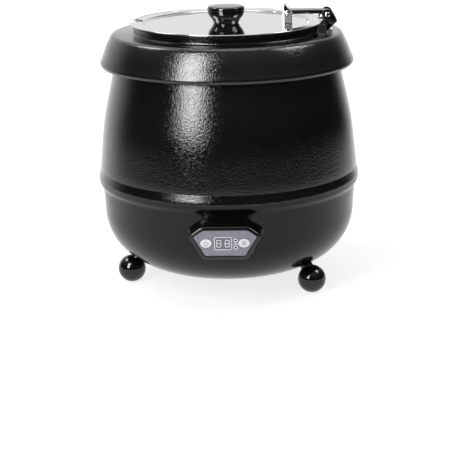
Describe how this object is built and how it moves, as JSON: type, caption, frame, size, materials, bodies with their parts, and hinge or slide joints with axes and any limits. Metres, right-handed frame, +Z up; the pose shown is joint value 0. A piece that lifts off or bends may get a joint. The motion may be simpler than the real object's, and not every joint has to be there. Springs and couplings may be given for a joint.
{
  "type": "soup kettle",
  "caption": "Round electric soup kettle with barrel shell, lift-off cover ring, lift-out pot, hinged lid with ladle notch, front control panel and ball feet.",
  "frame": {"origin": "on the table under the kettle's vertical axis, midway between the panel's front and the gland's tip", "axes": "+Z up, -Y towards the control panel at the front, +X towards the lid hinge"},
  "size_m": [0.34, 0.3834, 0.358],
  "materials": {
    "black_hammer_paint": "glossy with a fine orange-peel texture",
    "black_satin_paint": "satin, smoother than the shell",
    "spun_aluminium": "matte, with turning marks",
    "satin_stainless": "polished with faint turning marks",
    "polished_stainless": "mirror polished",
    "bright_chrome": "bright",
    "black_bakelite": "high gloss",
    "black_coated_steel": "satin",
    "gloss_black_plastic": "gloss",
    "printed_label": "satin grey film",
    "white_key_plastic": "satin",
    "smoked_window": "smoked",
    "display_plastic": "matte",
    "lamp_plastic": "clear gloss",
    "circuit_board": "satin",
    "zinc_steel": "zinc plated",
    "heater_sheath": "heat darkened",
    "black_nylon": "matte",
    "pale_nylon": "matte"
  },
  "bodies": {
    "kettle": {"lower_bowl": "black_satin_paint", "upper_shell": "black_hammer_paint", "seam_ring": "zinc_steel", "seam_screws": "zinc_steel", "heating_well": "spun_aluminium", "heating_element": "heater_sheath", "heater_clamp": "zinc_steel", "heater_studs": "zinc_steel", "heater_nuts": "zinc_steel", "thermal_cutout": "pale_nylon", "temperature_sensor": "heater_sheath", "sensor_saddle": "zinc_steel", "base_cover": "black_satin_paint", "base_screws": "zinc_steel", "power_board": "circuit_board", "board_stands": "pale_nylon", "heater_relay": "display_plastic", "supply_transformer": "zinc_steel", "terminal_block": "pale_nylon", "terminal_screws": "zinc_steel", "foot_left": "black_bakelite", "foot_right": "black_bakelite", "foot_rear": "black_bakelite", "foot_screws": "zinc_steel", "cord_gland": "black_nylon", "gland_nut": "black_nylon", "panel_housing": "gloss_black_plastic", "panel_spacers": "pale_nylon", "panel_label": "printed_label", "display_window": "smoked_window", "display_module": "display_plastic", "indicator_lamps": "lamp_plastic", "control_board": "circuit_board", "key_switches": "display_plastic", "panel_screws": "zinc_steel"},
    "power_key": {"power_key": "white_key_plastic"},
    "set_key": {"set_key": "white_key_plastic"},
    "cover_ring": {"cover_ring": "black_hammer_paint"},
    "soup_pot": {"soup_pot": "satin_stainless"},
    "hinge_clip": {"hinge_clip": "bright_chrome", "hinge_block": "black_coated_steel", "block_rivets": "zinc_steel", "hinge_pin": "bright_chrome"},
    "lid": {"lid_plate": "polished_stainless", "lid_knob": "black_bakelite", "knob_washer": "zinc_steel", "knob_screw": "zinc_steel", "hinge_arm": "black_coated_steel", "arm_post": "bright_chrome", "post_rivets": "zinc_steel", "post_pin": "bright_chrome"}
  },
  "joints": [
    {"name": "ring_lift", "type": "slide", "parent": "kettle", "child": "cover_ring", "axis": [0, 0, 1], "range_m": [0, 0.25]},
    {"name": "pot_lift", "type": "slide", "parent": "cover_ring", "child": "soup_pot", "axis": [0, 0, 1], "range_m": [0, 0.26]},
    {"name": "lid_lift", "type": "slide", "parent": "soup_pot", "child": "hinge_clip", "axis": [0, 0, 1], "range_m": [0, 0.05]},
    {"name": "lid_hinge", "type": "hinge", "parent": "hinge_clip", "child": "lid", "pos_m": [0.1283, 0, 0.346], "axis": [0, 1, 0], "range_deg": [0, 100]},
    {"name": "power_press", "type": "slide", "parent": "kettle", "child": "power_key", "axis": [0, 0.9976, -0.0698], "range_m": [0, 0.0008], "stiffness_N_per_m": 1500},
    {"name": "set_press", "type": "slide", "parent": "kettle", "child": "set_key", "axis": [0, 0.9976, -0.0698], "range_m": [0, 0.0008], "stiffness_N_per_m": 1500}
  ]
}
